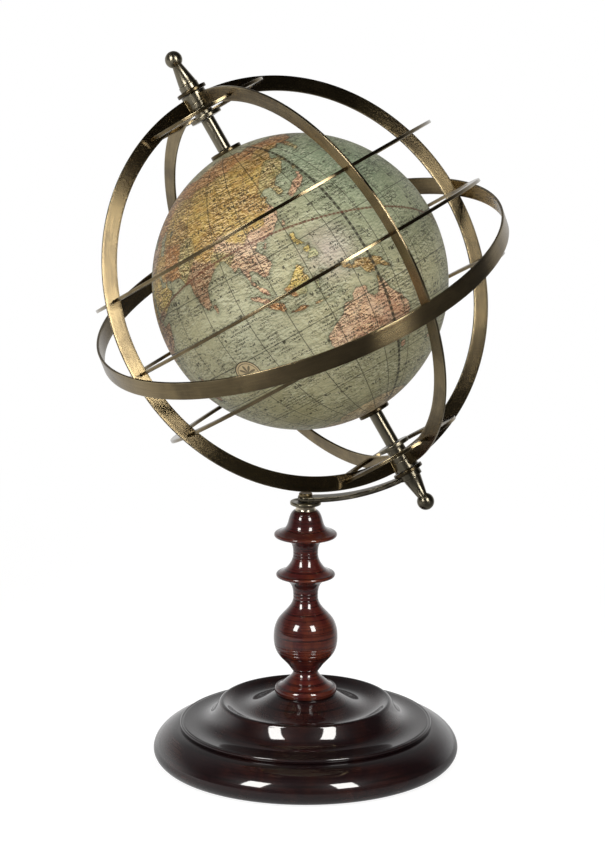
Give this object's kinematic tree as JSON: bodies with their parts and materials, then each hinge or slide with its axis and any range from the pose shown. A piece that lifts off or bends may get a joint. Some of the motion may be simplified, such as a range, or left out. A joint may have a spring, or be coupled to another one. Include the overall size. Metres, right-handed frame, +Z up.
{
  "type": "desktop globe on stand",
  "caption": "Desk globe that spins on a tilted polar rod inside a turning cage of armillary rings, carried by a swivelling bent arm on a turned wooden column and round base.",
  "frame": {"origin": "centre of the base's felt pad, at the level that the globe rests on", "axes": "+Z up along the column, -Y towards the viewer, +X to the viewer's right, the side that the arm bends out to"},
  "size_m": [0.2503, 0.2578, 0.4411],
  "materials": {
    "bronzed_brass": "bronzed and brushed along its length, satin",
    "bright_brass": "polished",
    "lacquered_wood": "dark mahogany under gloss lacquer",
    "felt": "matt felt",
    "steel": "plain turned",
    "map_paper": "printed paper over a pressed shell, satin varnish",
    "card": "plain"
  },
  "bodies": {
    "stand": {"felt_pad": "felt", "base_foot": "lacquered_wood", "base_dish": "lacquered_wood", "base_screws": "steel", "column": "lacquered_wood", "tie_rod": "steel", "tie_rod_washer": "steel", "tie_rod_nut": "steel", "ferrule": "bright_brass", "cap_disc": "bronzed_brass", "arm_nut": "bronzed_brass"},
    "arm": {"arm": "bronzed_brass", "polar_rod": "steel", "upper_spacer_tube": "bronzed_brass", "lower_spacer_tube": "bronzed_brass", "upper_flange": "bronzed_brass", "lower_flange": "bronzed_brass", "upper_washer": "bronzed_brass", "upper_finial": "bronzed_brass", "lower_finial": "bronzed_brass"},
    "cage": {"meridian_ring_a": "bronzed_brass", "meridian_ring_b": "bronzed_brass", "ecliptic_band": "bronzed_brass", "equator_ring": "bronzed_brass", "tropic_of_cancer_ring": "bronzed_brass", "tropic_of_capricorn_ring": "bronzed_brass", "arctic_ring": "bronzed_brass", "antarctic_ring": "bronzed_brass", "upper_inner_hub": "bronzed_brass", "lower_inner_hub": "bronzed_brass", "upper_outer_collar": "bronzed_brass", "lower_outer_collar": "bronzed_brass"},
    "globe": {"upper_globe_shell": "map_paper", "lower_globe_shell": "map_paper", "globe_seam_ring": "card", "upper_pole_cap": "bronzed_brass", "lower_pole_cap": "bronzed_brass", "upper_pole_bush": "bright_brass", "lower_pole_bush": "bright_brass"}
  },
  "joints": [
    {"name": "arm_swivel", "type": "hinge", "parent": "stand", "child": "arm", "pos_m": [0, 0, 0.1663], "axis": [0, 0, 1], "continuous": true},
    {"name": "cage_turn", "type": "hinge", "parent": "arm", "child": "cage", "pos_m": [-0.00328, 0.00088, 0.30345], "axis": [-0.496, 0.1329, 0.8581], "continuous": true},
    {"name": "globe_spin", "type": "hinge", "parent": "arm", "child": "globe", "pos_m": [-0.00328, 0.00088, 0.30345], "axis": [-0.496, 0.1329, 0.8581], "continuous": true}
  ]
}
